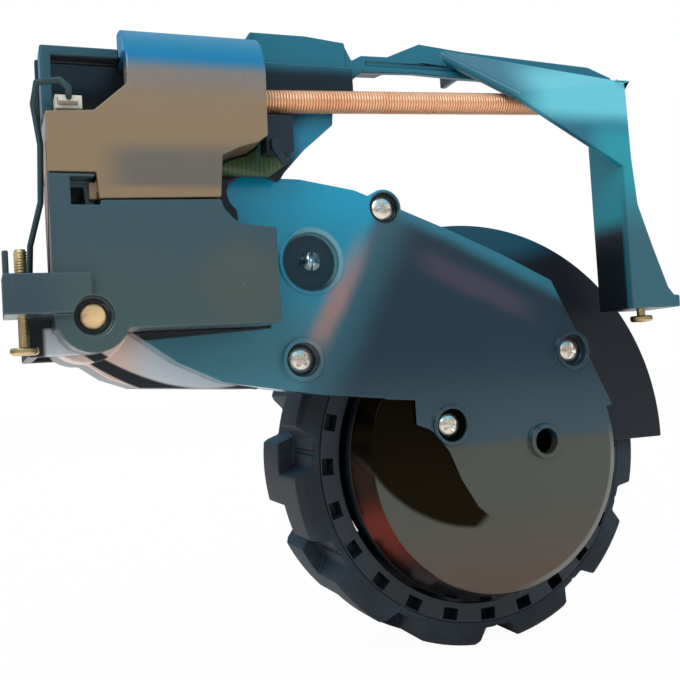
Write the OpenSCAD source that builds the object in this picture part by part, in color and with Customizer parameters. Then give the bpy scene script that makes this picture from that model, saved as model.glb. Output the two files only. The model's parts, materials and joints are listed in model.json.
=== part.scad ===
// Drive wheel module of a robot vacuum. Millimetres, +Z up, +Y away from the viewer.
// Built about the wheel axis, then moved so the seat of the left ear is the origin.

/* [Wheel] */
// Outer radius of the tyre over its lugs
tyre_r = 36; // [34:0.5:37]
// Width of the tyre
tyre_w = 22; // [20:0.5:24]
// Height of the tread lugs
lug_h = 3.2; // [2:0.1:3.6]
// Lugs in each of the two rows
lug_count = 11; // [9:1:13]
// Offset in degrees between the two rows of lugs
lug_shift = 9; // [4:1:14]
// Thickness of the tyre's band under its lugs
band_t = 1.4; // [1.1:0.1:1.8]
// Thickness of the rim's ring
rim_wall = 3.5; // [3:0.1:3.9]
// Square pockets around the near face of the rim
pocket_count = 24; // [18:1:28]

/* [Gears] */
// Teeth of the first wheel
gear_1_t = 32; // [30:1:33]
// Teeth of the second wheel
gear_2_t = 41; // [40:1:42]
// Teeth of the third wheel
gear_3_t = 45; // [44:1:46]
// Teeth of the output wheel
gear_4_t = 30; // [30:1:31]
// Radius of the steel gear pins
pin_r = 1; // [0.8:0.1:1.2]
// Direction from the wheel axis to the third gear pin
third_dir = 121.9; // [120:0.5:124]

/* [Arm] */
// Wall of the gearbox halves
wall = 1.4; // [1.1:0.1:1.6]
// Front plane of the gearbox cover
face_y = -8.5; // [-8.7:0.1:-8.5]
// Room between the rim's ring and the drum that reaches into it
drum_gap = 2.1; // [1.5:0.1:2.5]
// Room between the tyre and the wheel guard
guard_gap = 5; // [4.2:0.1:5.6]
// Wall of the wheel guard
guard_wall = 1.4; // [1.1:0.1:1.6]
// Radius of the cover screws' threads
screw_r = 0.95; // [0.8:0.05:1.1]
// Radius of the cover screws' heads
head_r = 2.2; // [1.9:0.1:2.4]
// Radius of the motor can
can_r = 12; // [11.4:0.1:12.2]
// Length of the motor can
can_l = 26; // [24:0.5:30]

/* [Frame] */
// Front plane of the housing
box_y = -20.5; // [-21.2:0.1:-19.5]
// Radius of the rolled top edge of the upper cover
roll_r = 8.5; // [5:0.5:8.5]
// Radius of the pivot pin
pivot_r = 1.9; // [1.6:0.1:2.2]
// Radius of the captive screws' threads
foot_r = 1; // [0.9:0.05:1.2]
// Radius of the captive screws' heads
foot_head_r = 2; // [1.7:0.1:2.4]
// Outer radius of the spring
coil_r = 1.9; // [1.5:0.1:2]

/* [Hidden] */
$fn = 64;
// radial clearance of a running fit
run = 0.04;
// radii worked inward from the tread and outward to the guard
rim_r = tyre_r - lug_h - band_t;
rim_in = rim_r - rim_wall;
drum_r = rim_in - drum_gap;
end_r = drum_r + 1.2;
guard_r = tyre_r + guard_gap + guard_wall;
// standard gear modules of the motor stage, the two middle stages and the last stage
mod_1 = 0.5;
mod_2 = 0.6;
mod_4 = 0.8;
// teeth of every pinion
pinion_t = 12;
// points in the wheel-axis frame, as x and z
pivot = [-71.2, 26.6];
post_1 = [-33.9, 35.5];
arm_1 = mod_1 * (pinion_t + gear_1_t) / 2;
arm_2 = mod_2 * (pinion_t + gear_2_t) / 2;
arm_3 = mod_2 * (pinion_t + gear_3_t) / 2;
arm_4 = mod_4 * (pinion_t + gear_4_t) / 2;
motor_at = post_1 + arm_1 * [cos(170), sin(170)];
post_3 = arm_4 * [cos(third_dir), sin(third_dir)];
// second gear pin: where circles about the first and third pins meet
gap_13 = norm(post_3 - post_1);
along_13 = (arm_2 * arm_2 - arm_3 * arm_3 + gap_13 * gap_13) / (2 * gap_13);
off_13 = sqrt(arm_2 * arm_2 - along_13 * along_13);
dir_13 = (post_3 - post_1) / gap_13;
post_2 = post_1 + along_13 * dir_13 + off_13 * [-dir_13[1], dir_13[0]];
screws = [[-19.8, 44.8], [-36.4, 19.0], [16.6, 18.2]];
bridge_screw = [-9.5, 6.1];
box_screws = [[-52, 54.5], [-48, 29]];
guard_at = [-1.3, 0.4];
guard_y = -1.9;
drum_at = [for (a = [90, 210, 330]) (drum_r - 4.2) * [cos(a), sin(a)]];
bridge_posts = [[10, 8], [-3.5, -7]];
// layers of the gearbox along y
cover_in = face_y + wall;
front_lo = -6.85;
front_hi = -4.75;
back_lo = -4.6;
back_hi = -2.1;
split_y = -3;
part_lo = -1.8;
part_hi = -0.6;
drum_hi = 6;
cap_hi = 7.6;
web_lo = 11.4;
web_hi = 13.6;
motor_y = part_hi;
knuckle_lo = -9.7;
knuckle_hi = 13;
plate_lo = -11.5;
plate_hi = -10;
anchor = [-62, 60];
hook = [16, 63];
spring_y = -14;
left_foot = [-80.6, -14.5];
right_foot = [28.2, -14.5];
ear_top = 32.7;
ear_low = 27;
foot_low = 24.9;
foot_top = 27.1;
arm_pts = [[24.9, 7.6], [21.4, 14.8], [16, 25.6], [13.2, 31.4], [3, 36.4], [-7, 40.7],
  [-15.9, 44.2], [-25.3, 47.8], [-35.2, 49.5], [-44.7, 49.7], [-53.6, 46], [-57, 37.4],
  [-64.2, 33], [-64.2, 24.6], [-57.4, 19.6], [-50, 16], [-33, 12.9], [-16.2, 10.9],
  [-16.2, 6.6], [0, 2]];
neck_pts = [[-40.2, 17.5], [-40.2, 30], [-50, 40], [-60, 38.5], [-72, 32.4], [-76, 26],
  [-72.4, 21.2], [-67.5, 17.7], [-62.7, 15.9], [-43, 14.6]];
upper_pts = [[-43.4, 71], [-64.8, 71], [-64.9, 60.6], [-69.8, 56.4], [-76.6, 56],
  [-76.6, 47.3], [-69.9, 47.3], [-69.6, 43.5], [-51.7, 43.9], [-51.1, 50.3], [-48.4, 51.6],
  [-45.4, 52.5], [-43.8, 53.6]];
lower_pts = [[-43.3, 24.7], [-43.3, 39.4], [-48.6, 39.8], [-49.9, 40.6], [-51.2, 42],
  [-51.8, 43.6], [-69.9, 43.3], [-70.2, 47.1], [-76.6, 47.1], [-76.6, 24.7]];
plate_pts = [[-44.2, 24.7], [-44.2, 38], [-46.8, 41], [-46.9, 43.5], [-48.1, 44.9], [-48.6, 46.5],
  [-48, 48], [-45.7, 49.2], [-42.8, 49.4], [-39.6, 48.4], [-38.6, 49.9], [-34.9, 53.8],
  [-29.6, 58.2], [-29.4, 60.5], [-25.4, 63.5], [-25.4, 68.3], [-64, 68.3], [-64, 67.5],
  [-76.6, 67.5], [-76.6, 33], [-72, 33], [-72, 24.7]];
rail_pts = [[29.2, 67.6], [29.2, 70.2], [24, 72], [-2.8, 73.2], [-11.5, 74], [-17.8, 71.3],
  [-22.8, 71.2], [-24.6, 70.2], [-26, 73], [-33, 73.7], [-42.8, 73.7], [-43.8, 70.8],
  [-64, 70.8], [-64, 66], [-26, 66], [-22.8, 68.2], [-13, 68.6], [-2, 68.2]];
// lower left part of the round end, where the face slopes back
dish_pts = [[-16.2, 6.6], [-13.7, 5.6], [-10.1, 1.4], [-8.1, -3.7], [-5.1, -8.7], [-0.9, -12.4],
  [-14, -30], [-30, -30], [-30, 12.3], [-24, 11.6], [-16.2, 10.9]];

// Moves the wheel-axis frame so the seat of the left ear is the origin
module home() {
  translate([80, 19, -ear_top]) children();
}

// Stands a flat outline up in x and z between two y planes
module slab(y0, y1) {
  translate([0, y1, 0]) rotate([90, 0, 0]) linear_extrude(y1 - y0) children();
}

// Round bar along y at a point given as x and z
module rod(p, y0, y1, r) {
  translate([p[0], y1, p[1]]) rotate([90, 0, 0]) cylinder(h = y1 - y0, r = r);
}

// Round bar along y whose radius changes from the front to the back
module taper(p, y0, y1, r0, r1) {
  translate([p[0], y1, p[1]]) rotate([90, 0, 0]) cylinder(h = y1 - y0, r1 = r1, r2 = r0);
}

// Turns a profile of radius and y about the wheel axis
module turned() {
  rotate([-90, 0, 0]) rotate_extrude($fn = 128) children();
}

// Runs a profile of y and z along x
module along_x(x0, x1) {
  translate([x0, 0, 0]) rotate([90, 0, 90]) linear_extrude(x1 - x0) children();
}

// Moves every edge of an outline inward by d
function inset(p, d) = [for (i = [0 : len(p) - 1])
  let (a = p[(i + len(p) - 1) % len(p)], b = p[i], c = p[(i + 1) % len(p)],
    u = (b - a) / norm(b - a), v = (c - b) / norm(c - b),
    m = [-u[1] - v[1], u[0] + v[0]] / (1 + u * v))
  b + d * m];

// Involute of an angle in degrees, as degrees
function inv(a) = tan(a) * 180 / PI - a;

// Half angle of a tooth at radius r, thinned by a tenth for backlash
function half_tooth(t, m, r) =
  let (base = m * t / 2 * cos(20), q = max(r, base + 0.001))
  90 / t * 0.9 + inv(20) - inv(acos(base / q));

// Outline of an involute gear with one tooth centred on the angle turn
module gear_outline(t, m, turn) {
  ra = m * (t / 2 + 0.85);
  rf = m * (t / 2 - 1.15);
  rb = max(m * t / 2 * cos(20), rf + 0.05);
  rm = (ra + rb) / 2;
  polygon([for (i = [0 : t - 1])
    let (c = turn + i * 360 / t, hb = half_tooth(t, m, rb), hm = half_tooth(t, m, rm),
      ha = half_tooth(t, m, ra))
    for (s = [[rf, -hb * 1.12], [rb, -hb], [rm, -hm], [ra, -ha], [ra, ha], [rm, hm], [rb, hb],
      [rf, hb * 1.12]])
    s[0] * [cos(c + s[1]), sin(c + s[1])]]);
}

// Gear about a point between two y planes with a round bore
module gear(p, t, m, turn, y0, y1, bore) {
  slab(y0, y1) difference() {
    translate(p) gear_outline(t, m, turn);
    translate(p) circle(r = bore);
  }
}

// Direction from one point to another in degrees
function heading(a, b) = atan2(b[1] - a[1], b[0] - a[0]);

// Turn of a driven gear of t teeth whose driver has a tooth at angle drive
// on the side where the two meet, seen from the driver at angle h
function meshed(h, driver_t, drive, t) =
  h + 180 + 180 / t - (drive - h) * driver_t / t;

turn_m = heading(motor_at, post_1);
turn_1b = meshed(turn_m, pinion_t, turn_m, gear_1_t);
turn_1s = heading(post_1, post_2);
turn_2b = meshed(turn_1s, pinion_t, turn_1s, gear_2_t);
turn_2s = heading(post_2, post_3);
turn_3b = meshed(turn_2s, pinion_t, turn_2s, gear_3_t);
turn_3s = heading(post_3, [0, 0]);
turn_4 = meshed(turn_3s, pinion_t, turn_3s, gear_4_t);

// Outline of the gearbox arm without its round end
module arm_outline(d) {
  polygon(inset(arm_pts, d));
  translate(motor_at) circle(r = 12.3 - d);
  translate(screws[0]) circle(r = 3.2 - d);
}

// Cross recess of a screw head that faces the viewer
module cross_cut(p, y, r) {
  translate([p[0] - r * 0.6, y - 0.1, p[1] - 0.22]) cube([r * 1.2, 0.7, 0.44]);
  translate([p[0] - 0.22, y - 0.1, p[1] - r * 0.6]) cube([0.44, 0.7, r * 1.2]);
}

// Pan head screw that points away from the viewer
module cover_screw(p, y, depth) {
  difference() {
    union() {
      taper(p, y, y + 0.5, head_r - 0.45, head_r);
      rod(p, y + 0.5, y + 1.2, head_r);
      rod(p, y + 1.2, y + 1.2 + depth, screw_r);
    }
    cross_cut(p, y, head_r);
  }
}

// ---- pieces of the fixed frame

// Back plate, top rail, corner box, gusset, right leg and the side wall with the rear ear
module main_frame() {
  color([0.05, 0.05, 0.06]) home() difference() {
    union() {
      slab(plate_lo, plate_hi) polygon(plate_pts);
      rod(pivot, plate_lo, plate_hi, 5.2);
      slab(-9.5, -8) polygon(rail_pts);
      slab(-10.01, -9.4) polygon([[-26, 66], [-26, 73], [-33, 73.7], [-42.8, 73.7],
        [-43.8, 70.8], [-64, 70.8], [-64, 66]]);
      slab(-8, -2) polygon([[29.2, 68.5], [29.2, 70.2], [24, 72], [-2.8, 73.2], [-11.5, 74],
        [-17.8, 71.3], [-22.8, 71.2], [-24.6, 70.2], [-26, 73], [-33, 73.7], [-42.8, 73.7],
        [-43.8, 70.8], [-64, 70.8], [-64, 69.3], [-42.8, 69.3], [-41.8, 72.2], [-33, 72.2],
        [-27.4, 71.6], [-25.4, 68.4], [-22.6, 69.7], [-17.4, 69.8], [-11.3, 72.5], [-2.8, 71.7],
        [23.8, 70.5]]);
      slab(-8, -6.9) polygon([[-40, 69], [-26, 69], [-26, 71], [-40, 71]]);
      for (x = [-40, -4, 12]) translate([x, -8, 68.6]) cube([1.2, 6, 4.2]);
      translate([28, -9.5, 67.6]) cube([1.2, 7.5, 1.6]);
      // corner box with its rear wall behind the spring lever
      translate([-76.6, -15, 57]) cube([1.6, 4, 10.5]);
      translate([-76.6, -15, 66]) cube([11.5, 4, 1.5]);
      slab(-2.2, -1) polygon([[-76.6, 57.5], [-58, 57.5], [-58, 70.8], [-64, 70.8],
        [-64, 69.9], [-76.6, 69.6]]);
      // side wall and rear ear of the pivot
      translate([-80, plate_lo, 21.4]) cube([1.6, 28.2, 10.6]);
      translate([-80, plate_lo, 21.4]) cube([8.8, 1.5, 10.6]);
      slab(13.7, 16.7) polygon([[-80, 21.4], [-71.2, 21.4], [-71.2, 31.8], [-80, 31.8]]);
      rod(pivot, 13.7, 16.7, 5.2);
      // right leg
      translate([22.7, -19.5, foot_low]) cube([1.5, 10, 41]);
      slab(-19.5, -18) polygon([[22.7, foot_low], [33.2, foot_low], [32.6, 26.4], [30.8, 28.6],
        [28, 36], [25.4, 43.6], [24.7, 52], [24.4, 66], [22.7, 66]]);
      translate([22.7, -19.5, foot_low]) cube([10.5, 10, foot_top - foot_low]);
      slab(-11, -9.5) polygon([[22.7, foot_low], [33.2, foot_low], [30.6, 31], [24.2, 44],
        [22.7, 66]]);
      translate([22.7, -19.5, 36]) cube([2.4, 10, 1.2]);
      // sloping roof from the rail to the leg, clear of the spring's fixed end below it
      difference() {
        hull() {
          translate([-7.4, -9.5, 71.6]) cube([1, 1.4, 1.4]);
          translate([25, -9.5, 68.6]) cube([1, 1.4, 1.4]);
          translate([2.3, -19.5, 61.8]) cube([1.2, 1.4, 1.2]);
          translate([22.7, -19.5, 64.5]) cube([1.7, 1.4, 1.4]);
        }
        translate([anchor[0], spring_y, anchor[1]]) rotate([0, 90 - heading(anchor, hook), 0])
          cylinder(h = norm(hook - anchor) + 3.4, r = coil_r + 0.4);
      }
      // its front wall
      hull() {
        translate([2.3, -19.5, 61.8]) cube([1.2, 1.4, 1.2]);
        translate([14.9, -19.5, 57.7]) cube([1.2, 1.4, 1.2]);
        translate([22.7, -19.5, 50.6]) cube([1.5, 1.4, 1.4]);
        translate([22.7, -19.5, 64.5]) cube([1.7, 1.4, 1.4]);
      }
      // bracket and post of the spring's fixed end
      translate([14.2, -11.9, 60.6]) cube([9, 1.5, 4.4]);
      rod(hook, -16.4, -10.6, 1.2);
      rod(hook, -16.4, -15.8, 1.8);
      // bosses for the two screws of the housing
      for (p = box_screws) rod(p, plate_lo - 0.6, plate_hi, 2.6);
    }
    rod(pivot, -30, 30, pivot_r + 0.02);
    // window for the spring anchor
    slab(-12, -8) polygon([[-75.3, 59.6], [-70.5, 59.6], [-70.5, 57.6], [-55.5, 57.6],
      [-55.5, 66.2], [-75.3, 66.2]]);
    translate([28.2, -14.5, 20]) cylinder(h = 20, r = foot_r - 0.18);
    translate([28.2, -14.5, foot_top - 0.3]) cylinder(h = 1, r = foot_r + 0.35);
    for (p = box_screws) {
      rod(p, -14, -9, screw_r + run);
      taper(p, plate_hi - 1, plate_hi + 0.01, screw_r + run, 2.05);
    }
    // groove along the middle of the rail
    translate([-22, -9.6, 69.5]) cube([18, 0.5, 0.7]);
  }
}

// Body of the upper cover with a rolled front top edge
module rolled(x0, x1, y, z, r) {
  along_x(x0, x1) union() {
    polygon([[y, 30], [plate_lo, 30], [plate_lo, z], [y + r, z], [y + r, z - r], [y, z - r]]);
    translate([y + r, z - r]) circle(r = r, $fn = 96);
  }
}

// Upper cover of the housing: rolled top, stepped right edge, open to the plate
module upper_cover() {
  color([0.05, 0.05, 0.06]) home() difference() {
    union() {
      difference() {
        intersection() {
          slab(box_y, plate_lo) polygon(upper_pts);
          rolled(-80, -40, box_y, 71, roll_r);
        }
        intersection() {
          slab(box_y + 1.5, plate_lo + 1) polygon(inset(upper_pts, 1.5));
          rolled(-80, -40, box_y + 1.5, 69.5, roll_r - 1.5);
        }
      }
      rod(box_screws[0], box_y + 1, plate_lo - 0.65, 2.4);
      // hook of the snap that shows in the window
      translate([-70.9, -18.9, 43.6]) cube([1.2, 1.35, 2.6]);
    }
    // opening where the spring enters, and the one under the corner box
    translate([-46.5, -17.5, 57.4]) cube([5, 8, 7]);
    translate([-67.2, -17.5, 57.2]) cube([5.6, 8, 8.3]);
    rod(box_screws[0], plate_lo - 4.4, plate_lo + 1, screw_r + run);
  }
}

// Lower cover of the housing with the pivot boss and the left ear
module lower_cover() {
  color([0.05, 0.05, 0.06]) home() difference() {
    union() {
      difference() {
        slab(box_y, plate_lo) polygon(lower_pts);
        slab(box_y + 1.5, plate_lo + 1) polygon(inset(lower_pts, 1.5));
      }
      rod(pivot, box_y, plate_lo, 5.3);
      rod(box_screws[1], box_y + 1, plate_lo - 0.65, 2.4);
      translate([-83.3, -22, ear_low]) cube([6.8, 10.4, ear_top - ear_low]);
      translate([-83.3, -22, ear_low]) cube([11.9, 1.8, ear_top - ear_low]);
      translate([-83.1, -13, ear_top - 0.1]) cube([0.9, 1.2, 4.6]);
      for (z = [31, 36.5]) translate([-60, box_y + 1.4, z]) cube([15.4, 1, 1]);
    }
    rod(pivot, -30, 0, pivot_r + 0.02);
    rod(pivot, -22.1, box_y + 1.6, 2.9);
    // window of the snap
    translate([-73.6, box_y - 1, 42.6]) cube([4.1, 4, 4]);
    rod(box_screws[1], plate_lo - 4.4, plate_lo + 1, screw_r + run);
    translate([left_foot[0], left_foot[1], 20]) cylinder(h = 20, r = foot_r - 0.18);
    translate([left_foot[0], left_foot[1], ear_top - 0.3]) cylinder(h = 1, r = foot_r + 0.35);
  }
}

// Two countersunk screws that hold the covers to the plate
module housing_screws() {
  color([0.75, 0.75, 0.73]) home() for (p = box_screws) difference() {
    union() {
      rod(p, plate_lo - 4, plate_hi, screw_r);
      taper(p, plate_hi - 1, plate_hi, screw_r, 1.95);
    }
    translate([p[0] - 1.2, plate_hi - 0.5, p[1] - 0.2]) cube([2.4, 1, 0.4]);
    translate([p[0] - 0.2, plate_hi - 0.5, p[1] - 1.2]) cube([0.4, 1, 2.4]);
  }
}

// Brass pin that the arm swings on
module pivot_pin() {
  color([0.85, 0.62, 0.3]) home() difference() {
    union() {
      taper(pivot, box_y + 1.2, box_y + 1.6, pivot_r - 0.3, pivot_r);
      rod(pivot, box_y + 1.6, 18, pivot_r);
    }
    difference() {
      rod(pivot, 16.9, 17.5, pivot_r + 1);
      rod(pivot, 16.8, 17.6, pivot_r - 0.45);
    }
  }
}

// Spring clip in the groove at the rear end of the pivot pin
module pin_clip() {
  color([0.6, 0.6, 0.62]) home() difference() {
    rod(pivot, 16.92, 17.48, 3.9);
    rod(pivot, 16, 19, pivot_r - 0.43);
    translate([pivot[0] - 1.1, 16, pivot[1] - 6]) cube([2.2, 3, 6]);
  }
}

// Small green board beside the housing
module switch_board() {
  color([0.1, 0.35, 0.15]) home() slab(-13.1, -11.5)
    polygon([[-50.6, 48.9], [-41.6, 48.9], [-38.3, 51.2], [-38.3, 58.2], [-43, 58.2],
      [-43.1, 54.4], [-43.5, 53.3], [-45.2, 52.1], [-48.2, 51.2], [-50.6, 50.1]]);
}

// Body of the wheel-drop switch on the board
module drop_switch() {
  color([0.08, 0.08, 0.08]) home() difference() {
    translate([-43, -16.6, 52]) cube([4.6, 3.5, 6]);
    rod([-41.7, 53.2], -17, -15.6, 0.5 + run);
  }
}

// Lever of the wheel-drop switch on its small pin
module switch_lever() {
  color([0.75, 0.75, 0.73]) home() union() {
    rod([-41.7, 53.2], -17.6, -15.8, 0.5);
    slab(-17.5, -17) polygon([[-42.4, 53.9], [-42.4, 52.5], [-40.7, 49.6], [-39.7, 50],
      [-41, 52.8], [-41.1, 53.9]]);
  }
}

// White socket in the corner box
module board_socket() {
  color([0.9, 0.9, 0.86]) home() difference() {
    translate([-74.95, -17.8, 57.2]) cube([3.85, 6.3, 2]);
    translate([-74.6, -18, 57.7]) cube([2.8, 4, 1]);
  }
}

// Plug pushed into the socket
module cable_plug() {
  color([0.92, 0.9, 0.84]) home() translate([-74.55, -19.6, 57.75]) cube([2.7, 4.6, 0.9]);
}

// Straight length of cable between two points, with a round at its start
module lead(a, b) {
  d = b - a;
  l = norm(d);
  translate(a) sphere(r = 0.45, $fn = 20);
  translate(a) rotate([0, acos(d[2] / l), atan2(d[1], d[0])]) cylinder(h = l, r = 0.45, $fn = 20);
}

// Cable from the plug round the corner and down onto the side wall
module motor_cable() {
  way = [[-73.2, -20.06, 58.2], [-73.2, -20.6, 59.4], [-74.4, -20.7, 60.4], [-77.5, -19.6, 60.2],
    [-78, -17.6, 57.6], [-77.2, -16.6, 52], [-77.4, -14.4, 44], [-79, -11.2, 38],
    [-79.2, -10.2, 34], [-79.2, -9.6, 32.1]];
  color([0.88, 0.84, 0.74]) home() union() {
    for (i = [0 : len(way) - 2]) lead(way[i], way[i + 1]);
  }
}

// Close-wound extension spring with a loop at each end
module return_spring() {
  lean = heading(anchor, hook);
  run_l = norm(hook - anchor);
  coil_l = run_l - 8.8;
  turns = 40;
  color([0.75, 0.45, 0.3]) home()
    translate([anchor[0], spring_y, anchor[1]]) rotate([0, -lean, 0]) union() {
      translate([4.4, 0, 0]) rotate([0, 90, 0]) cylinder(h = coil_l, r = coil_r - 0.16, $fn = 32);
      for (i = [0 : turns - 1]) translate([4.4 + (i + 0.25) * coil_l / turns, 0, 0])
        rotate([0, 90, 0]) cylinder(h = coil_l / turns * 0.5, r = coil_r, $fn = 32);
      // loops about the two pins
      translate([0.2, 0, 0]) rotate([90, 0, 0]) rotate_extrude($fn = 48)
        translate([1.86, 0]) circle(r = 0.35, $fn = 20);
      translate([run_l - 0.4, 0, 0]) rotate([90, 0, 0]) rotate_extrude($fn = 48)
        translate([1.96, 0]) circle(r = 0.35, $fn = 20);
      translate([2.1, 0, 0]) rotate([0, 90, 0]) cylinder(h = 3, r = 0.3, $fn = 24);
      translate([run_l - 5.3, 0, 0]) rotate([0, 90, 0]) cylinder(h = 2.9, r = 0.3, $fn = 24);
    }
}

// Captive screw: thin waist in the hole, wider thread above it
module captive(x, y, head_z, waist_top, tip_z) {
  translate([x, y, head_z]) difference() {
    union() {
      cylinder(h = 1.1, r = foot_head_r);
      cylinder(h = waist_top - head_z, r = foot_r - 0.25);
      translate([0, 0, waist_top - head_z - 0.4]) cylinder(h = 0.4, r1 = foot_r - 0.25, r2 = foot_r);
      translate([0, 0, waist_top - head_z]) cylinder(h = tip_z - waist_top - 0.4, r = foot_r);
      translate([0, 0, tip_z - head_z - 0.4]) cylinder(h = 0.4, r1 = foot_r, r2 = foot_r - 0.3);
    }
    translate([-1.2, -0.2, -0.1]) cube([2.4, 0.4, 0.6]);
    translate([-0.2, -1.2, -0.1]) cube([0.4, 2.4, 0.6]);
  }
}

// Left captive screw, hanging in the ear
module left_screw() {
  color([0.85, 0.62, 0.3]) home() captive(left_foot[0], left_foot[1], 21.6, ear_top - 0.01, 37);
}

// Right captive screw, hanging in the foot of the leg
module right_screw() {
  color([0.85, 0.62, 0.3]) home() captive(right_foot[0], right_foot[1], 22.6, foot_top - 0.01, 31);
}

// ---- pieces of the swinging arm

// Front half of the gearbox: flat face with bosses, and round end with a slope and a flared side
module gearbox_cover() {
  color([0.05, 0.05, 0.06]) home() difference() {
    union() {
      slab(face_y, split_y) arm_outline(0);
      turned() polygon([[0, face_y], [end_r - 2.4, face_y], [end_r, split_y], [0, split_y]]);
      for (p = [screws[1], screws[2], bridge_screw]) rod(p, face_y - 0.7, cover_in - 0.2, 3.6);
      rod(post_1, face_y - 0.4, cover_in - 0.2, 5.7);
      rod([9.4, 1.8], face_y - 0.9, cover_in - 0.2, 3.2);
    }
    difference() {
      union() {
        slab(cover_in, split_y + 1) arm_outline(wall);
        turned() polygon([[0, cover_in], [23.2, cover_in], [25.9, split_y + 1],
          [0, split_y + 1]]);
        rod(post_3, back_lo - 0.15, split_y + 1, mod_2 * (gear_3_t / 2 + 0.85) + 0.3);
      }
      // bosses left standing inside
      for (p = screws) rod(p, cover_in - 1, -5.5, 3.4);
      rod(bridge_screw, cover_in - 1, -6.6, 3.2);
      rod(post_2, cover_in - 1, front_lo - 0.1, 2.4);
    }
    for (p = concat(screws, [bridge_screw])) {
      rod(p, face_y - 2, face_y + 1.2, p == screws[0] ? 2.6 : 2.9);
      rod(p, face_y - 2, 0, screw_r + run);
    }
    // slope of the round end, deepest beside the notch
    intersection() {
      slab(face_y - 2, 0) polygon(dish_pts);
      translate([-0.9, face_y, -12.4]) rotate([0, -128.5, 0]) rotate([0, 0, 1.7])
        translate([0, -5, -40]) cube([45, 5, 80]);
    }
    // round recess of the slotted post
    rod(post_1, face_y - 2, face_y + 0.9, 4.9);
    rod(post_1, face_y - 2, 0, 1.6 + 0.02);
    rod(post_2, face_y + 0.6, 0, pin_r + 0.02);
    // hole beside the last screw
    rod([9.4, 1.8], face_y - 2, 0, 2.3);
  }
}

// Rear half of the gearbox: partition, drum, motor cup, hinge knuckle and spring lever
module gearbox_shell() {
  color([0.05, 0.05, 0.06]) home() difference() {
    union() {
      difference() {
        union() {
          slab(split_y, part_hi) arm_outline(0);
          rod([0, 0], split_y, part_hi, end_r);
        }
        slab(split_y - 1, part_lo) arm_outline(wall);
        rod([0, 0], split_y - 1, part_lo, end_r - wall);
        rod(post_3, split_y - 1, part_lo, mod_2 * (gear_3_t / 2 + 0.85) + 0.3);
      }
      // drum inside the rim
      difference() {
        rod([0, 0], part_lo, drum_hi, drum_r);
        rod([0, 0], part_hi, drum_hi + 1, drum_r - 1.2);
      }
      // box behind the motor end of the arm
      difference() {
        slab(split_y, 12) polygon(neck_pts);
        slab(part_hi, 13) polygon(inset(neck_pts, 1.5));
        slab(split_y - 1, part_lo) arm_outline(wall);
      }
      rod(pivot, knuckle_lo, knuckle_hi, 6.4);
      slab(-1, 11) polygon([[-66.5, 26], [-56.8, 30], [-56.8, 31.4], [-66.5, 27.6]]);
      // motor cup
      difference() {
        rod(motor_at, part_lo, 16, can_r + 1.5);
        rod(motor_at, motor_y, 17, can_r + 0.03);
      }
      // lever that pulls the spring, clear of the front half's edge
      difference() {
        union() {
          slab(-6.5, -3) polygon([[-60.6, 40.5], [-57.2, 39], [-53.8, 46.2], [-59, 61.8],
            [-60.4, 62.9], [-63.2, 62.8], [-64.3, 61]]);
          slab(-6.5, -1) polygon([[-64.5, 33], [-57.2, 37.6], [-55.5, 45], [-58.5, 50],
            [-62, 44]]);
        }
        slab(-9, split_y) arm_outline(-0.05);
      }
      // bosses of the cover, the bridge and the drum cap
      for (p = screws) rod(p, split_y, part_lo, 2.5);
      intersection() {
        union() {
          for (p = screws) rod(p, -5.5, split_y + 0.5, 2.5);
        }
        slab(-6, split_y + 0.6) arm_outline(wall + 0.05);
      }
      for (p = bridge_posts) rod(p, -5.8, part_lo, 2);
      for (p = drum_at) rod(p, part_hi - 0.2, drum_hi, 3.1);
    }
    for (p = screws) rod(p, -6, part_lo - 0.3, screw_r + run);
    for (p = bridge_posts) rod(p, -6, part_lo - 0.4, 0.75 + run);
    for (p = drum_at) rod(p, 2, drum_hi + 1, 0.75 + run);
    rod(pivot, -20, 20, 2.9 + 0.02);
    rod(motor_at, motor_y, 17, can_r + 0.03);
    rod(motor_at, split_y - 0.1, motor_y + 0.1, 3.9);
    rod(post_1, part_lo - 0.1, part_hi - 0.3, 1.6 + 0.02);
    rod(post_2, part_lo - 0.1, part_hi - 0.3, pin_r + 0.02);
    rod(post_3, split_y, part_hi + 1, mod_4 * (pinion_t / 2 + 0.85) + 0.5);
    rod([0, 0], split_y, part_hi + 1, 3.5 + 0.02);
    rod(anchor, -7, 0, 1.3 + 0.02);
    // motor screws
    for (a = [40, 220]) rod(motor_at + 8 * [cos(a), sin(a)], part_lo - 0.1, part_hi + 0.1, 1 + run);
  }
}

// Rear cover of the drum with the output bearing's seat
module drum_cap() {
  color([0.05, 0.05, 0.06]) home() difference() {
    union() {
      rod([0, 0], drum_hi, cap_hi, drum_r);
      rod([0, 0], cap_hi - 0.1, 10.2, 6.6);
      rod([0, 0], drum_hi - 0.5, drum_hi + 0.1, 6.6);
      rod(post_3, 5.6, cap_hi, 2.2);
      for (a = [0 : 60 : 300]) rotate([0, a + 15, 0]) translate([6.4, cap_hi - 0.1, -0.6])
        cube([drum_r - 8.2, 1.1, 1.2]);
    }
    rod([0, 0], 5, 9.4, 4.5 + 0.02);
    rod([0, 0], 5, 12, 3.2);
    rod(post_3, 5, cap_hi - 0.5, pin_r + 0.02);
    for (p = drum_at) {
      rod(p, 5, 12, 0.75 + run);
      rod(p, cap_hi - 0.2, 12, 1.9);
    }
  }
}

// Three small screws of the drum cap
module drum_screws() {
  color([0.75, 0.75, 0.73]) home() for (p = drum_at) difference() {
    union() {
      rod(p, cap_hi - 0.2, cap_hi + 0.7, 1.5);
      rod(p, 3, cap_hi, 0.75);
    }
    translate([p[0] - 1, cap_hi + 0.3, p[1] - 0.18]) cube([2, 1, 0.36]);
    translate([p[0] - 0.18, cap_hi + 0.3, p[1] - 1]) cube([0.36, 1, 2]);
  }
}

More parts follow.
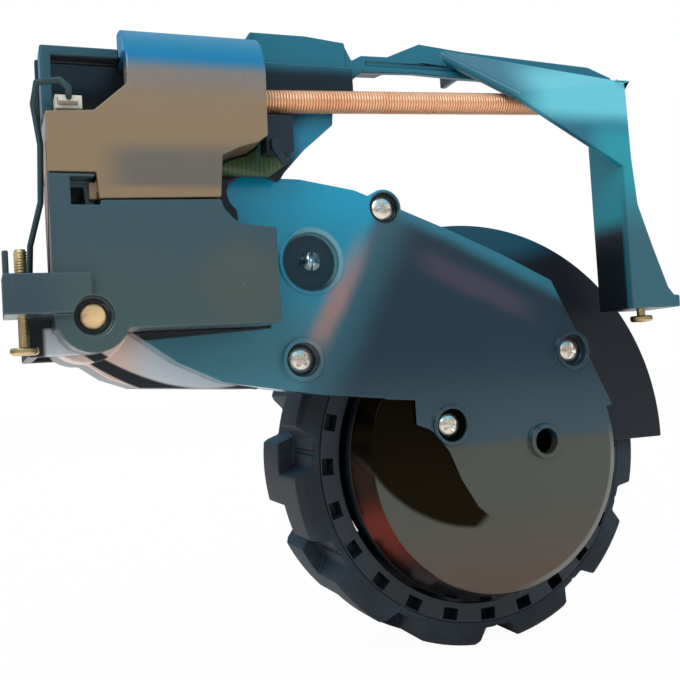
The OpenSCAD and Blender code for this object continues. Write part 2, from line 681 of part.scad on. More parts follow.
// Inner plate that carries the front ends of the last two shafts
module gear_bridge() {
  color([0.7, 0.7, 0.68]) home() difference() {
    union() {
      slab(-6.6, -5.8) polygon([[12.4, 8.6], [9, 10.8], [-7.6, 17.4], [-11, 16.6], [-12.4, 4.8],
        [-6, -7.6], [-2.4, -9.6]]);
      for (p = bridge_posts) rod(p, -6.6, -5.8, 2.6);
    }
    for (p = bridge_posts) rod(p, -8, 0, 0.75 + run);
    rod(bridge_screw, -8, 0, screw_r + run);
    rod(post_3, -8, 0, pin_r + 0.02);
    rod([0, 0], -8, 0, 1.5 + 0.03);
  }
}

// Two low screws that hold the bridge on its posts
module bridge_screws() {
  color([0.75, 0.75, 0.73]) home() for (p = bridge_posts) difference() {
    union() {
      rod(p, -7.05, -6.6, 1.4);
      rod(p, -6.6, -2.6, 0.75);
    }
    translate([p[0] - 1, -7.2, p[1] - 0.15]) cube([2, 0.35, 0.3]);
  }
}

// Four cover screws in their recesses
module cover_screws() {
  color([0.8, 0.8, 0.78]) home() {
    for (p = screws) cover_screw(p, face_y, 4.6);
    cover_screw(bridge_screw, face_y, 1.4);
  }
}

// Slotted post of the first gear
module bearing_post() {
  color([0.8, 0.8, 0.78]) home() difference() {
    union() {
      rod(post_1, face_y - 0.2, part_hi - 0.3, 1.6);
    }
    translate([post_1[0] - 0.25, face_y - 0.5, post_1[1] - 2]) cube([0.5, 0.9, 4]);
  }
}

// Steel pins of the second and third gears
module gear_pins() {
  color([0.7, 0.7, 0.72]) home() {
    rod(post_2, face_y + 0.7, part_hi - 0.4, pin_r);
    rod(post_3, -6.6, cap_hi - 0.6, pin_r);
  }
}

// Curved guard over the top of the tyre with its front wall
module wheel_guard() {
  color([0.05, 0.05, 0.06]) home() difference() {
    union() {
      difference() {
        rod(guard_at, guard_y, tyre_w, guard_r);
        rod(guard_at, guard_y - 1, tyre_w + 1, guard_r - guard_wall);
      }
      difference() {
        rod(guard_at, guard_y, part_hi, guard_r - 0.5);
        slab(split_y - 1, 0) arm_outline(0);
        rod([0, 0], split_y - 1, 1, end_r);
      }
      difference() {
        rod(guard_at, tyre_w - 1.3, tyre_w, guard_r - 0.5);
        rod([0, 0], tyre_w - 2, tyre_w + 1, tyre_r + 2.4);
      }
    }
    // keeps the quarter from the right side over the top
    slab(-10, 40) polygon([[-60, -60], [60, -60], [60, 0], [24, 0], [-7.4, 41], [-11, 60],
      [-60, 60]]);
  }
}

// Steel can of the motor
module motor_can() {
  color([0.6, 0.6, 0.62]) home() difference() {
    union() {
      rod(motor_at, motor_y, motor_y + can_l, can_r);
      rod(motor_at, -1.9, motor_y, 3.8);
    }
    rod(motor_at, -3, motor_y + can_l + 1, 1 + run);
    for (a = [40, 220]) rod(motor_at + 8 * [cos(a), sin(a)], -1, 3, 0.95 + run);
    for (a = [100, 280]) rod(motor_at + 8.6 * [cos(a), sin(a)], 12, 40, 1.2);
  }
}

// Plastic end cap of the motor with its two tabs
module motor_cap() {
  color([0.85, 0.85, 0.8]) home() difference() {
    union() {
      rod(motor_at, motor_y + can_l, motor_y + can_l + 2.2, can_r - 1);
      for (a = [10, 190]) translate([motor_at[0] + 7 * cos(a) - 1, motor_y + can_l + 2,
        motor_at[1] + 7 * sin(a) - 0.25]) cube([2, 3.4, 0.5]);
    }
    rod(motor_at, 0, 40, 1 + run);
  }
}

// Two screws that hold the motor to the partition
module motor_screws() {
  color([0.75, 0.75, 0.73]) home() for (a = [40, 220]) difference() {
    union() {
      rod(motor_at + 8 * [cos(a), sin(a)], part_lo - 0.25, part_lo, 1.5);
      rod(motor_at + 8 * [cos(a), sin(a)], part_lo, 2.6, 0.95);
    }
    translate([motor_at[0] + 8 * cos(a) - 1, part_lo - 0.4, motor_at[1] + 8 * sin(a) - 0.15])
      cube([2, 0.3, 0.3]);
  }
}

// Shaft of the motor
module motor_shaft() {
  color([0.7, 0.7, 0.72]) home() rod(motor_at, -4.8, motor_y + can_l + 1.4, 1);
}

// Brass pinion on the motor shaft
module motor_pinion() {
  color([0.85, 0.62, 0.3]) home()
    gear(motor_at, pinion_t, mod_1, turn_m, back_lo, back_hi, 1);
}

// First gear: wheel on the motor pinion, pinion in front of it
module first_gear() {
  color([0.9, 0.9, 0.86]) home() union() {
    gear(post_1, gear_1_t, mod_1, turn_1b, back_lo, back_hi, 1.6 + run);
    gear(post_1, pinion_t, mod_2, turn_1s, front_lo, back_lo + 0.1, 1.6 + run);
  }
}

// Second gear: wheel in front, pinion behind
module second_gear() {
  color([0.9, 0.9, 0.86]) home() union() {
    gear(post_2, gear_2_t, mod_2, turn_2b, front_lo, front_hi, pin_r + run);
    gear(post_2, pinion_t, mod_2, turn_2s, front_hi - 0.1, back_hi, pin_r + run);
  }
}

// Third gear: wheel behind the bridge, pinion through the partition into the drum
module third_gear() {
  color([0.9, 0.9, 0.86]) home() union() {
    gear(post_3, gear_3_t, mod_2, turn_3b, back_lo, back_hi, pin_r + run);
    gear(post_3, pinion_t, mod_4, turn_3s, back_hi - 0.1, 5.3, pin_r + run);
  }
}

// Output gear in the drum
module output_gear() {
  color([0.9, 0.9, 0.86]) home() union() {
    gear([0, 0], gear_4_t, mod_4, turn_4, 0.3, 5.2, 2);
  }
}

// Output shaft with its thin front end, bearing seats and flats for the rim
module output_shaft() {
  color([0.7, 0.7, 0.72]) home() difference() {
    union() {
      rod([0, 0], -6.6, -2.2, 1.5);
      rod([0, 0], -2.2, 20.6, 2);
    }
    translate([1.5, 11, -3]) cube([2, 10, 6]);
    translate([-3.5, 11, -3]) cube([2, 10, 6]);
  }
}

// Plain bearing in the partition and ball bearing in the drum cap
module output_bearings() {
  color([0.85, 0.62, 0.3]) home() {
    difference() {
      union() {
        rod([0, 0], part_lo - 0.1, part_hi + 0.6, 3.5);
      }
      rod([0, 0], -4, 2, 2 + run);
    }
    difference() {
      rod([0, 0], 5.5, 9.4, 4.5);
      rod([0, 0], 4, 12, 2 + run);
    }
  }
}

// Nut that holds the rim on the shaft
module hub_nut() {
  color([0.75, 0.75, 0.73]) home() difference() {
    rod([0, 0], 17.6, 19.6, 3.4, $fn = 64);
    rod([0, 0], 17, 21, 2);
    for (a = [0 : 60 : 300]) rotate([0, a, 0]) translate([2.95, 17, -3]) cube([2, 3, 6]);
  }
}

// Rim: outer ring with square pockets, web, ribs and hub
module wheel_rim() {
  color([0.06, 0.06, 0.07]) home() difference() {
    union() {
      difference() {
        rod([0, 0], 0, tyre_w, rim_r);
        rod([0, 0], -1, tyre_w + 1, rim_in);
      }
      rod([0, 0], web_lo, web_hi, rim_in + 0.5);
      rod([0, 0], 10.5, 17.6, 6);
      for (a = [0 : 60 : 300]) rotate([0, a, 0]) translate([5, web_hi - 0.1, -0.7])
        cube([rim_in - 4.6, 4, 1.4]);
      difference() {
        rod([0, 0], web_hi - 0.1, 18, 18.6);
        rod([0, 0], web_hi - 1, 19, 17.3);
      }
    }
    difference() {
      rod([0, 0], -1, 30, 2);
      translate([1.5, 11, -3]) cube([2, 10, 6]);
      translate([-3.5, 11, -3]) cube([2, 10, 6]);
    }
    for (i = [0 : pocket_count - 1]) rotate([0, i * 360 / pocket_count, 0])
      translate([rim_in + 1.1, -1, -1.45]) cube([rim_wall - 1.4, 4.5, 2.9]);
    for (a = [30 : 60 : 330]) rod(22.5 * [cos(a), sin(a)], 10, 16, 3);
  }
}

// Tyre: band with two rows of chamfered lugs set off from each other
module tyre() {
  root = tyre_r - lug_h;
  pitch = 360 / lug_count;
  color([0.06, 0.06, 0.06]) home() difference() {
    union() {
      turned() polygon([[rim_r, 0], [root - 0.3, 0], [root, 0.5], [root, tyre_w - 0.5],
        [root - 0.3, tyre_w], [rim_r, tyre_w]]);
      intersection() {
        turned() polygon([[rim_r + 0.3, 0], [tyre_r - 1, 0], [tyre_r, 1.3],
          [tyre_r, tyre_w - 1.3], [tyre_r - 1, tyre_w], [rim_r + 0.3, tyre_w]]);
        union() {
          for (i = [0 : lug_count - 1]) {
            slab(0, tyre_w / 2) rotate(i * pitch - 4.6) polygon([
              (root - 0.5) * [cos(0.38 * pitch), sin(0.38 * pitch)],
              (root - 0.5) * [cos(-0.38 * pitch), sin(-0.38 * pitch)],
              (tyre_r + 0.8) * [cos(-0.26 * pitch), sin(-0.26 * pitch)],
              [tyre_r + 2.2, 0],
              (tyre_r + 0.8) * [cos(0.26 * pitch), sin(0.26 * pitch)]]);
            slab(tyre_w / 2, tyre_w) rotate(i * pitch - 4.6 - lug_shift) polygon([
              (root - 0.5) * [cos(0.38 * pitch), sin(0.38 * pitch)],
              (root - 0.5) * [cos(-0.38 * pitch), sin(-0.38 * pitch)],
              (tyre_r + 0.8) * [cos(-0.26 * pitch), sin(-0.26 * pitch)],
              [tyre_r + 2.2, 0],
              (tyre_r + 0.8) * [cos(0.26 * pitch), sin(0.26 * pitch)]]);
          }
        }
      }
    }
    // shallow grooves across the tread between the lugs
    for (i = [0 : lug_count - 1]) rotate([0, -(i + 0.5) * pitch + 4.6, 0])
      translate([root - 0.35, -1, -0.4]) cube([1, tyre_w / 2, 0.8]);
  }
}

// Two bushes in the knuckle
module pivot_bushes() {
  color([0.85, 0.62, 0.3]) home() for (y = [[knuckle_lo, knuckle_lo + 5], [knuckle_hi - 5, knuckle_hi]])
    difference() {
      rod(pivot, y[0], y[1], 2.9);
      rod(pivot, y[0] - 1, y[1] + 1, pivot_r + run);
    }
}

// Steel pin on the lever that the spring hooks on
module spring_anchor() {
  color([0.7, 0.7, 0.72]) home() union() {
    rod(anchor, -16.4, -3, 1.3);
    rod(anchor, -16.6, -15.9, 1.9);
    rod(anchor, -9, -6.5, 1.9);
  }
}

main_frame();
upper_cover();
lower_cover();
housing_screws();
pivot_pin();
pin_clip();
switch_board();
drop_switch();
switch_lever();
cable_plug();
board_socket();
motor_cable();
return_spring();
left_screw();
right_screw();
gearbox_cover();
gearbox_shell();
drum_cap();
drum_screws();
gear_bridge();
bridge_screws();
cover_screws();
bearing_post();
gear_pins();
wheel_guard();
motor_can();
motor_cap();
motor_screws();
motor_shaft();
motor_pinion();
first_gear();
second_gear();
third_gear();
output_gear();
output_shaft();
output_bearings();
hub_nut();
wheel_rim();
tyre();
pivot_bushes();
spring_anchor();
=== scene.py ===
import json
import math

import bpy
import numpy as np
from mathutils import Matrix, Vector


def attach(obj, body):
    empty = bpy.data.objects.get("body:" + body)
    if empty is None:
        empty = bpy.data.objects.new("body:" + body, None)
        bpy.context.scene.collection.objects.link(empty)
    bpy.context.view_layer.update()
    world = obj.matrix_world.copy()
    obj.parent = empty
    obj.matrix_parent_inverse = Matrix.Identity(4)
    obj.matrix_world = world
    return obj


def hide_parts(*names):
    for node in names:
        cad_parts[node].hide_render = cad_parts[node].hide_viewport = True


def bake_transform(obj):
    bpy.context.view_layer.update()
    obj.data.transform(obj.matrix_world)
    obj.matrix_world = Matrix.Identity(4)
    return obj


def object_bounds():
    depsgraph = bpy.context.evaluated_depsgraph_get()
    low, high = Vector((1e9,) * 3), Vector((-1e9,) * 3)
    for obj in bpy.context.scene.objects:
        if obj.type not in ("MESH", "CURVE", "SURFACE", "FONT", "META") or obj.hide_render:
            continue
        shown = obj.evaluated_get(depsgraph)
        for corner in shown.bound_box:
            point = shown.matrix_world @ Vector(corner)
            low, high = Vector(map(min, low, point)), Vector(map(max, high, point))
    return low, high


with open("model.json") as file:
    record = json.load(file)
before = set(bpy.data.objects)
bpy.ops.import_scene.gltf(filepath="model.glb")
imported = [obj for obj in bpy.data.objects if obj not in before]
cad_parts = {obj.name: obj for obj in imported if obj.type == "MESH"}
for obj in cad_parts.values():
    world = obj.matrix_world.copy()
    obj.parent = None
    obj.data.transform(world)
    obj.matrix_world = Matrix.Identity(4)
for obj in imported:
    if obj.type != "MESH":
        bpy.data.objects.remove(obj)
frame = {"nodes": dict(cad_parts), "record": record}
lowCad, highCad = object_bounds()
nodes = frame["nodes"]
mm = 0.001

# the wheel's axle, at the near face of the tyre, is what every size below is measured from
wheelHub = Vector((80 * mm, 19 * mm, -32.7 * mm))


print("camera and stage")

cameraSetup = {
    "place": (-0.0060, -0.1384, -0.0169),
    "forward": (0.3543, 0.9343, 0.0391),
    "rollDegrees": 3.46,
    "lens": 49.67,
    "sensor": 36.0,
}


def placeCamera(setup):
    data = bpy.data.cameras.new("photoCamera")
    camera = bpy.data.objects.new("photoCamera", data)
    bpy.context.scene.collection.objects.link(camera)
    data.lens = setup["lens"]
    data.sensor_width = setup["sensor"]
    data.clip_start = 0.005
    data.clip_end = 20
    ahead = Vector(setup["forward"]).normalized()
    level = ahead.cross(Vector((0, 0, 1))).normalized()
    over = level.cross(ahead)
    roll = math.radians(setup["rollDegrees"])
    right = level * math.cos(roll) - over * math.sin(roll)
    top = over * math.cos(roll) + level * math.sin(roll)
    camera.matrix_world = Matrix.Translation(Vector(setup["place"])) @ Matrix(
        (
            (right.x, top.x, -ahead.x, 0),
            (right.y, top.y, -ahead.y, 0),
            (right.z, top.z, -ahead.z, 0),
            (0, 0, 0, 1),
        )
    )
    bpy.context.scene.camera = camera


placeCamera(cameraSetup)
bpy.context.scene.view_settings.view_transform = "Standard"


# an output socket that + - * / turn into Math or Vector Math nodes
class Wire:
    def __init__(self, tree, socket):
        self.tree = tree
        self.socket = socket

    def calc(self, operation, first, second=0.0):
        wide = any(isinstance(x, Wire) and x.socket.type in ("VECTOR", "RGBA") for x in (first, second))
        node = self.tree.nodes.new("ShaderNodeVectorMath" if wide else "ShaderNodeMath")
        node.operation = operation
        for inlet, value in zip(node.inputs, (first, second)):
            feed(self.tree, inlet, value)
        return Wire(self.tree, node.outputs[0])

    def __add__(self, other):
        return self.calc("ADD", self, other)

    def __radd__(self, other):
        return self.calc("ADD", other, self)

    def __sub__(self, other):
        return self.calc("SUBTRACT", self, other)

    def __rsub__(self, other):
        return self.calc("SUBTRACT", other, self)

    def __mul__(self, other):
        return self.calc("MULTIPLY", self, other)

    def __rmul__(self, other):
        return self.calc("MULTIPLY", other, self)

    def __truediv__(self, other):
        return self.calc("DIVIDE", self, other)


def feed(tree, inlet, value):
    if isinstance(value, Wire):
        tree.links.new(value.socket, inlet)
    elif inlet.type == "RGBA" and not hasattr(value, "__len__"):
        inlet.default_value = (value, value, value, 1)
    elif inlet.type == "RGBA" and len(value) == 3:
        inlet.default_value = (*value, 1)
    elif inlet.type == "VECTOR" and not hasattr(value, "__len__"):
        inlet.default_value = (value, value, value)
    else:
        inlet.default_value = value


# a node tree with short ways to the nodes this scene uses
class Recipe:
    def __init__(self, tree):
        self.tree = tree

    def node(self, kind, output=0, inputs=None, **settings):
        node = self.tree.nodes.new(kind)
        for key, value in settings.items():
            setattr(node, key, value)
        for key, value in (inputs or {}).items():
            feed(self.tree, node.inputs[key], value)
        return Wire(self.tree, node.outputs[output])

    def mix(self, share, first, second):
        inputs = {0: share, 6: first, 7: second}
        return self.node("ShaderNodeMix", 2, inputs, data_type="RGBA", clamp_factor=True)

    # 0 below low, 1 above high, a smooth ramp between
    def step(self, value, low, high):
        inputs = {"Value": value, "From Min": low, "From Max": high}
        return self.node("ShaderNodeMapRange", 0, inputs, interpolation_type="SMOOTHSTEP")

    def noise(self, where, perMetre, detail=3.0, rough=0.55):
        inputs = {"Vector": where, "Scale": perMetre, "Detail": detail, "Roughness": rough}
        return self.node("ShaderNodeTexNoise", 0, inputs)

    def ramp(self, value, stops):
        node = self.tree.nodes.new("ShaderNodeValToRGB")
        feed(self.tree, node.inputs[0], value)
        while len(node.color_ramp.elements) < len(stops):
            node.color_ramp.elements.new(0.5)
        for element, (place, colour) in zip(node.color_ramp.elements, stops):
            element.position = place
            element.color = (*colour, 1)
        return Wire(self.tree, node.outputs[0])

    def split(self, where):
        node = self.tree.nodes.new("ShaderNodeSeparateXYZ")
        feed(self.tree, node.inputs[0], where)
        return [Wire(self.tree, out) for out in node.outputs]

    # 1 below low, 0 above high
    def fall(self, value, low, high):
        return 1 - self.step(value, low, high)

    # 1 between two ramps: it comes in over the first and goes out over the second
    def between(self, value, comes, goes):
        return self.step(value, *comes) * self.fall(value, *goes)

    # distance from a point in the across and tall plane
    def far(self, across, tall, x, z):
        squares = (across - x) * (across - x) + (tall - z) * (tall - z)
        return squares.calc("SQRT", squares)

    # 1 inside an ellipse about a point, fading to 0 outside it
    def blob(self, across, tall, x, z, wide, high):
        return self.fall(self.far((across - x) / wide, (tall - z) / high, 0, 0), 0.45, 1.15)

    def bump(self, height, depth, strength=1.0):
        return self.node("ShaderNodeBump", 0, {"Height": height, "Distance": depth, "Strength": strength})


# a Principled material; fixed numbers go straight on its sockets
class Finish(Recipe):
    def __init__(self, name, **sockets):
        self.material = bpy.data.materials.new(name)
        self.material.use_nodes = True
        super().__init__(self.material.node_tree)
        self.shader = self.tree.nodes["Principled BSDF"]
        self.where = self.node("ShaderNodeTexCoord", 3)
        for key, value in sockets.items():
            self.put(key, value)

    # millimetres from the wheel's hub, along x, y and z
    def measured(self):
        hub = (wheelHub.x, wheelHub.y, wheelHub.z)
        return self.split((self.where - hub) * (1 / mm))

    def put(self, key, value):
        feed(self.tree, self.shader.inputs[key.replace("_", " ")], value)


worldLight = {
    "diffuse": (0.60, 0.61, 0.62),
    "ground": (0.20, 0.16, 0.13),
    "horizon": (0.10, 0.13, 0.17),
    "haze": (0.62, 0.46, 0.40),
    "sky": (0.16, 0.62, 1.00),
    "zenith": (0.85, 0.95, 1.00),
}


# white to the camera, plain to diffuse rays, and in what shines a sky over a horizon; the stops run
# from straight down at 0 past the level at 0.5 to straight up at 1
def lightWorld(tone):
    world = bpy.data.worlds.new("studio")
    bpy.context.scene.world = world
    world.use_nodes = True
    tree = world.node_tree
    recipe = Recipe(tree)
    height = recipe.split(recipe.node("ShaderNodeTexCoord", 0))[2]
    sky = recipe.ramp(
        height * 0.5 + 0.5,
        [
            (0.00, tone["ground"]),
            (0.465, tone["ground"]),
            (0.50, tone["horizon"]),
            (0.55, tone["horizon"]),
            (0.60, tone["haze"]),
            (0.68, tone["sky"]),
            (0.80, tone["sky"]),
            (1.00, tone["zenith"]),
        ],
    )
    rays = tree.nodes.new("ShaderNodeLightPath")
    cameraRay = Wire(tree, rays.outputs["Is Camera Ray"])
    glossyRay = Wire(tree, rays.outputs["Is Glossy Ray"])
    clearRay = Wire(tree, rays.outputs["Is Transmission Ray"])
    colour = recipe.mix(glossyRay, tone["diffuse"], sky)
    colour = recipe.mix(cameraRay + clearRay, colour, (1, 1, 1))
    feed(tree, tree.nodes["Background"].inputs["Color"], colour)


lightWorld(worldLight)

# place in metres, side of the square panel, and whether glossy plastic mirrors it
lamps = {
    "keyLamp": {
        "place": (-0.35, -0.55, 0.50),
        "size": 0.45,
        "watts": 2.6,
        "colour": (1.0, 0.99, 0.97),
        "mirrored": True,
    },
    "fillLamp": {
        "place": (0.65, -0.50, 0.10),
        "size": 0.50,
        "watts": 1.4,
        "colour": (1.0, 0.97, 0.94),
        "mirrored": False,
    },
    "backLamp": {
        "place": (0.25, 0.60, 0.60),
        "size": 0.50,
        "watts": 2.4,
        "colour": (0.94, 0.98, 1.0),
        "mirrored": False,
    },
}


def hangLamp(name, lamp, aim):
    data = bpy.data.lights.new(name, "AREA")
    data.energy = lamp["watts"]
    data.size = lamp["size"]
    data.color = lamp["colour"]
    thing = bpy.data.objects.new(name, data)
    thing.location = lamp["place"]
    thing.rotation_euler = (Vector(aim) - Vector(lamp["place"])).to_track_quat("-Z", "Y").to_euler()
    thing.visible_glossy = lamp["mirrored"]
    bpy.context.scene.collection.objects.link(thing)


for name, lamp in lamps.items():
    hangLamp(name, lamp, (lowCad + highCad) / 2)

floorSetup = {"half": 2.5, "colour": (0.86, 0.86, 0.86), "glow": 0.975}


# a pale floor under the tyre that keeps a faint shadow
def layFloor(setup):
    level = lowCad.z
    half = setup["half"]
    corners = [(-half, -half, level), (half, -half, level), (half, half, level), (-half, half, level)]
    mesh = bpy.data.meshes.new("floor")
    mesh.from_pydata(corners, [], [(0, 1, 2, 3)])
    floor = bpy.data.objects.new("floor", mesh)
    bpy.context.scene.collection.objects.link(floor)
    paint = Finish("floorPaint", Base_Color=setup["colour"], Roughness=0.9)
    tree = paint.tree
    glow = paint.node("ShaderNodeEmission", 0, {"Color": (1, 1, 1), "Strength": 1.0})
    seen = paint.node("ShaderNodeLightPath", 0)
    blend = tree.nodes.new("ShaderNodeMixShader")
    feed(tree, blend.inputs[0], seen * setup["glow"])
    tree.links.new(paint.shader.outputs[0], blend.inputs[1])
    tree.links.new(glow.socket, blend.inputs[2])
    tree.links.new(blend.outputs[0], tree.nodes["Material Output"].inputs["Surface"])
    mesh.materials.append(paint.material)


layFloor(floorSetup)

print("finishes")

# tints laid into the glossy black plastic's base colour by place: frameBlack is the plastic's own black;
# the rest are painted reflections, painted highlights and painted shade, standing in for the sky, the floor
# and the lamps it mirrors and for the shade in its recesses
tones = {
    "topBlue": (0.030, 0.260, 0.440),
    "topDeep": (0.007, 0.060, 0.100),
    "haze": (0.210, 0.190, 0.180),
    "bronze": (0.262, 0.180, 0.100),
    "slateFoot": (0.115, 0.112, 0.100),
    "slate": (0.050, 0.090, 0.092),
    "slateTop": (0.034, 0.080, 0.102),
    "bronzeDim": (0.085, 0.092, 0.075),
    "earBlack": (0.038, 0.070, 0.088),
    "lobe": (0.006, 0.245, 0.390),
    "lobeTop": (0.003, 0.310, 0.500),
    "lobeLow": (0.048, 0.185, 0.245),
    "ridge": (0.330, 0.190, 0.165),
    "panel": (0.012, 0.034, 0.054),
    "panelFoot": (0.014, 0.046, 0.066),
    "panelEdge": (0.020, 0.165, 0.240),
    "endGrey": (0.044, 0.050, 0.036),
    "endWarm": (0.070, 0.044, 0.028),
    "leaf": (0.014, 0.010, 0.005),
    "flank": (0.030, 0.016, 0.012),
    "flankRed": (0.170, 0.030, 0.020),
    "well": (0.004, 0.030, 0.045),
    "wellRimHighlight": (0.120, 0.330, 0.400),
    "frameBlack": (0.007, 0.010, 0.014),
    "railBlue": (0.015, 0.150, 0.220),
    "plateBlue": (0.015, 0.215, 0.370),
    "roofBlue": (0.130, 0.570, 0.680),
    "legBlue": (0.010, 0.290, 0.370),
    "boxBlue": (0.030, 0.120, 0.160),
    "guardBlue": (0.006, 0.080, 0.135),
    "rimLight": (0.190, 0.195, 0.175),
    "bend": (0.030, 0.105, 0.145),
    "lilac": (0.800, 0.830, 0.880),
    "pink": (0.900, 0.680, 0.580),
    "plum": (0.085, 0.060, 0.105),
    "pitShade": (0.003, 0.005, 0.006),
}


# moulded black plastic: fine spark texture, soft blotches of sheen and faint flow lines
def mouldedBlack(name, tone, tint, rough=0.34, grain=0.000012, gloss=0.5):
    paint = Finish(name, IOR=1.5, Specular_IOR_Level=gloss)
    blotch = paint.noise(paint.where, 45, 4)
    spark = paint.noise(paint.where, 5200, 2, 0.7)
    smear = paint.noise(paint.where * (1, 1, 6), 160, 3)
    paint.put("Base Color", paint.mix(paint.step(blotch, 0.32, 0.68), tone, tint))
    paint.put("Roughness", blotch * 0.12 + smear * 0.1 + (rough - 0.11))
    paint.put("Normal", paint.bump(spark, grain, 0.6))
    return paint.material


# glossy plastic whose painted sheen and reflections are laid into the base colour by place: the caller
# mixes that tone, and where the clear coat and the mirror-like sheen change over the piece, gives them too;
# this adds wear and grain
def finishGloss(paint, tone, rough, coat=None, mirror=None):
    if coat is not None:
        paint.put("Coat Weight", coat)
    if mirror is not None:
        paint.put("Metallic", mirror)
    blotch = paint.noise(paint.where, 90, 4)
    fine = paint.noise(paint.where, 4200, 2, 0.7)
    paint.put("Base Color", paint.mix(blotch * 0.3, tone, tone * 0.7))
    paint.put("Roughness", blotch * 0.12 + rough)
    paint.put("Normal", paint.bump(fine, 0.000006, 0.5))
    return paint.material


# The looks below lay tones on a piece by place, in millimetres from the wheel's hub. A pair is the
# stretch over which a tone comes or goes. Foot and Top are heights, Start and End are places across,
# Back is a depth, Radius counts from the At of the same name, and Share is how much of a tone is laid on.
upperLook = {
    "bandFoot": (44.6, 46),
    "bandTop": (49.5, 53),
    "bandStart": (-71, -64),
    "bandShare": 0.85,
    "hazeFoot": (58, 62.5),
    "hazeShare": 0.8,
    "rollFoot": (62.6, 65.4),
    "rollBack": (-18.5, -14),
    "coat": 0.3,
    "mirror": 0.85,
    "rough": 0.2,
}


# upper cover, all painted reflections: blue over the rolled top, a pale painted highlight line, bronze on
# the front, a slate band near the foot
def upperGloss(name, look):
    paint = Finish(name, IOR=1.5, Coat_Roughness=0.12)
    across, deep, tall = paint.measured()
    drift = paint.noise(paint.where, 38, 3) * 2 - 1
    band = paint.between(tall + drift * 0.6, look["bandFoot"], look["bandTop"])
    band = band * paint.step(across + drift, *look["bandStart"])
    front = paint.mix(band * look["bandShare"], tones["bronze"], tones["slateFoot"])
    haze = paint.step(tall + drift * 0.5, *look["hazeFoot"])
    front = paint.mix(haze * look["hazeShare"], front, tones["haze"])
    back = paint.step(deep + drift * 0.5, *look["rollBack"])
    roll = paint.step(tall + drift * 0.4, *look["rollFoot"])
    tone = paint.mix(roll, front, paint.mix(back, tones["topBlue"], tones["topDeep"]))
    mirror = roll * (1 - back) * look["mirror"]
    return finishGloss(paint, tone, look["rough"], coat=(1 - roll) * look["coat"], mirror=mirror)


lowerLook = {
    "upperFoot": (30, 41),
    "cloud": (-49, 31, 8, 8),  # its middle across and tall, then half its width and height
    "cloudShare": 0.5,
    "earEnd": (-79, -74),
    "pinAt": (-71.2, 26.6),
    "pinRing": (2.5, 2.8),
    "rough": 0.2,
}


# lower cover, painted reflections and shade: slate with a bronze reflection cloud in the middle, a left
# side painted darker, a black ring of painted shade at the pin
def lowerGloss(name, look):
    paint = Finish(name, IOR=1.5, Coat_Weight=0.3, Coat_Roughness=0.12)
    across, _, tall = paint.measured()
    drift = paint.noise(paint.where, 38, 3) * 4 - 2
    front = paint.mix(paint.step(tall + drift, *look["upperFoot"]), tones["slate"], tones["slateTop"])
    cloud = paint.blob(across + drift, tall, *look["cloud"])
    front = paint.mix(cloud * look["cloudShare"], front, tones["bronzeDim"])
    front = paint.mix(paint.step(across + drift * 0.5, *look["earEnd"]), tones["earBlack"], front)
    ring = paint.fall(paint.far(across, tall, *look["pinAt"]), *look["pinRing"])
    return finishGloss(paint, paint.mix(ring, front, tones["pitShade"]), look["rough"])


# screws of the gear cover: x and z from the hub, and how far the cross recess is turned
coverScrewsAt = {
    "coverScrewTop": (-19.8, 44.8, 0.3),
    "coverScrewLeft": (-36.4, 19.0, 0.9),
    "coverScrewRight": (16.6, 18.2, 1.3),
    "coverScrewLow": (-9.5, 6.1, 0.55),
}

coverLook = {
    "bendAt": (-28.2, 31.2),  # the bend runs through here, from the lower left screw to the upper one
    "bendLean": (0.883, 0.467),
    "bendStart": (2, 10),  # this pair, panelStart and the ridge's Start and End count from the bend
    "lobeFoot": (22, 36),
    "lobeTop": (39, 47),
    "panelStart": (-1.0, 2.0),
    "panelFoot": (8, 20),
    "browSlope": 0.44,  # the brow is the panel's sloping upper edge
    "browHeight": 37.2,
    "browFoot": (-3.6, -0.3),  # this pair and the streak's Foot and Top count from the brow
    "streakFoot": (-11, -8.5),
    "streakTop": (-7, -4),
    "streakStart": (-17, -9),
    "streakEnd": (3, 12),
    "streakShare": 0.5,
    "ridgeStart": (-3.4, -0.5),
    "ridgeEnd": (0.3, 3.2),
    "ridgeFoot": (14, 24),
    "ridgeTop": (30, 44),
    "endTop": (1.4, 3.2),
    "endFoot": (-22, -6),
    "sunkBack": (-8.44, -8.39),
    "leafAt": (-3.6, 13.0),
    "leafRadius": (24.9, 25.9),
    "leafEnd": (0, 4),
    "leafTop": (11.5, 12.5),
    "flankRadius": (24.2, 24.7),  # from the hub, as lineInner and lineOuter are
    "flankTop": (4, 12),
    "warmAt": (-22.5, -12.5),
    "warmRadius": (2, 9),
    "paleStart": (-4, 8),
    "lineInner": (23.5, 24.0),
    "lineOuter": (24.6, 25.2),
    "lineTop": (-3, 5),
    "lineStart": (0, 12),
    "lineShare": 0.8,
    "gapSlope": 0.055,
    "gapFoot": (26.55, 26.95),
    "gapEnd": (-41.8, -41.2),
    "gapTop": (27, 29),
    "pitRadius": (2.6, 3.0),
    "wellAt": (-33.9, 35.5),
    "wellRadius": (4.9, 5.4),
    "wellRimInner": (4.3, 4.9),
    "wellRimOuter": (6.1, 5.7),
    "wellLit": (-1.5, 4.5),  # the rim's upper right catches the light
    "coat": 0.3,
    "rough": 0.15,
}
